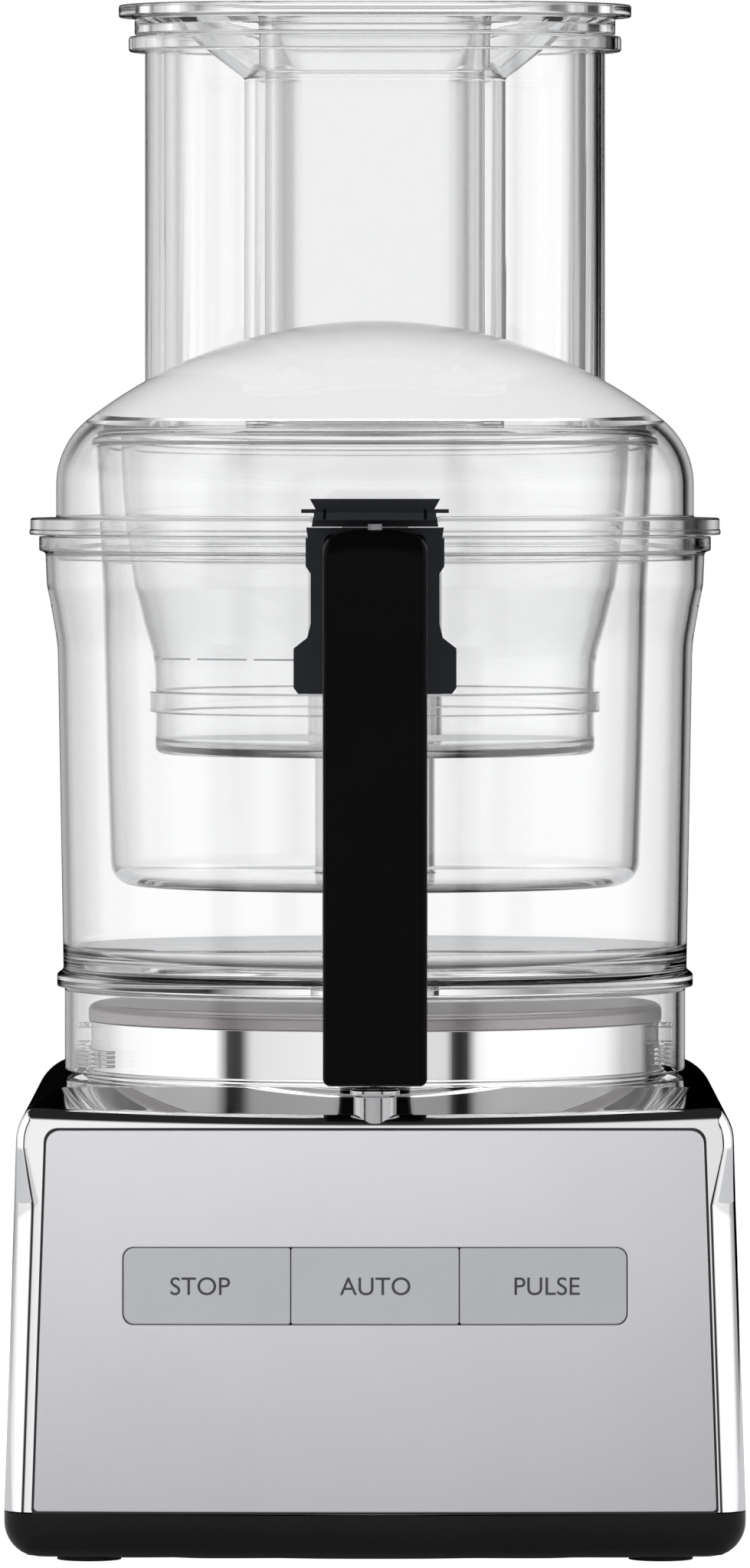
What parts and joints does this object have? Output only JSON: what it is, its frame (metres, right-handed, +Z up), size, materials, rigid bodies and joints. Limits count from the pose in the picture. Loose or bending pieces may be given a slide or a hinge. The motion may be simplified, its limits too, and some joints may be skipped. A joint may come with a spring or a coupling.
{
  "type": "food processor",
  "caption": "Free-standing food processor: chrome motor base with three keys, nested clear bowls with a bar handle, domed lid, wide feed tube and two pushers.",
  "frame": {"origin": "on the bowl and motor axis, on the surface the feet stand on, which is the centre of the box's underside", "axes": "+Z up along the bowl axis, -Y towards the front with the keys and the handle, +X to the viewer's right"},
  "size_m": [0.2072, 0.256, 0.439],
  "materials": {
    "chrome": "mirror",
    "panel_satin": "satin",
    "tray_black": "gloss",
    "foot_rubber": "matt",
    "screw_steel": "satin",
    "cap_satin": "satin",
    "seal_rubber": "matt",
    "button_grey": "satin",
    "moulded_black": "satin",
    "board_green": "gloss",
    "cast_aluminium": "cast",
    "lamination_steel": "laminated",
    "copper_wire": "enamelled",
    "capacitor_white": "satin",
    "fan_white": "matt",
    "spindle_white": "satin",
    "clear_bowl": "clear",
    "clear_lid": "clear",
    "frosted_pusher": "frosted",
    "plate_slate": "satin",
    "handle_black": "satin"
  },
  "bodies": {
    "base": {"housing_shell": "chrome", "front_panel": "panel_satin", "base_tray": "tray_black", "rubber_feet": "foot_rubber", "base_screws": "screw_steel", "collar": "chrome", "collar_cap": "cap_satin", "locking_lugs": "chrome", "shaft_seal": "seal_rubber", "interlock_boss": "chrome", "plunger_spring": "screw_steel", "safety_switch": "moulded_black", "switch_bracket": "cast_aluminium", "control_board": "board_green", "button_switches": "moulded_black", "board_screws": "screw_steel", "power_inlet": "moulded_black", "motor_lower_bell": "cast_aluminium", "motor_upper_bell": "cast_aluminium", "motor_stator": "lamination_steel", "motor_windings": "copper_wire", "motor_bolts": "screw_steel", "motor_mounts": "seal_rubber", "lower_bearing": "screw_steel", "upper_bearing": "screw_steel", "run_capacitor": "capacitor_white"},
    "rotor": {"motor_rotor": "lamination_steel", "motor_shaft": "screw_steel", "cooling_fan": "fan_white", "drive_spindle": "spindle_white"},
    "plunger": {"interlock_plunger": "moulded_black"},
    "stop_key": {"stop_button": "button_grey"},
    "auto_key": {"auto_button": "button_grey"},
    "pulse_key": {"pulse_button": "button_grey"},
    "bowl": {"main_bowl": "clear_bowl", "handle_plate": "plate_slate", "bowl_handle": "handle_black", "handle_cover": "handle_black", "handle_screws": "screw_steel", "rod_spring": "screw_steel"},
    "rod": {"safety_rod": "spindle_white"},
    "midi": {"midi_bowl": "clear_bowl"},
    "mini": {"mini_bowl": "clear_bowl"},
    "lid": {"lid": "clear_lid", "lid_tab": "plate_slate"},
    "large_pusher": {"large_pusher": "clear_lid"},
    "small_pusher": {"small_pusher": "frosted_pusher"}
  },
  "joints": [
    {"name": "motor_spin", "type": "hinge", "parent": "base", "child": "rotor", "pos_m": [0, 0, 0.1], "axis": [0, 0, 1], "continuous": true},
    {"name": "bowl_turn", "type": "hinge", "parent": "base", "child": "bowl", "pos_m": [0, 0, 0.14], "axis": [0, 0, 1], "range_deg": [0, 30]},
    {"name": "rod_slide", "type": "slide", "parent": "bowl", "child": "rod", "axis": [0, 0, -1], "range_m": [0, 0.003], "stiffness_N_per_m": 200, "springref_m": -0.002, "deforming": ["rod_spring"]},
    {"name": "plunger_slide", "type": "slide", "parent": "base", "child": "plunger", "axis": [0, 0, -1], "range_m": [0, 0.003], "stiffness_N_per_m": 200, "springref_m": -0.002, "deforming": ["plunger_spring"]},
    {"name": "stop_press", "type": "slide", "parent": "base", "child": "stop_key", "axis": [0, 0.9986, -0.0523], "range_m": [0, 0.0012], "stiffness_N_per_m": 400, "springref_m": -0.0015},
    {"name": "auto_press", "type": "slide", "parent": "base", "child": "auto_key", "axis": [0, 0.9986, -0.0523], "range_m": [0, 0.0012], "stiffness_N_per_m": 400, "springref_m": -0.0015},
    {"name": "pulse_press", "type": "slide", "parent": "base", "child": "pulse_key", "axis": [0, 0.9986, -0.0523], "range_m": [0, 0.0012], "stiffness_N_per_m": 400, "springref_m": -0.0015},
    {"name": "midi_lift", "type": "slide", "parent": "bowl", "child": "midi", "axis": [0, 0, 1], "range_m": [0, 0.12]},
    {"name": "mini_lift", "type": "slide", "parent": "midi", "child": "mini", "axis": [0, 0, 1], "range_m": [0, 0.1]},
    {"name": "lid_lift", "type": "slide", "parent": "mini", "child": "lid", "axis": [0, 0, 1], "range_m": [0, 0.1]},
    {"name": "large_pusher_slide", "type": "slide", "parent": "lid", "child": "large_pusher", "axis": [0, 0, 1], "range_m": [0, 0.125]},
    {"name": "small_pusher_slide", "type": "slide", "parent": "large_pusher", "child": "small_pusher", "axis": [0, 0, 1], "range_m": [0, 0.12]}
  ],
  "couplings": [
    {"joint": "plunger_slide", "follows": "rod_slide", "ratio": 1}
  ]
}
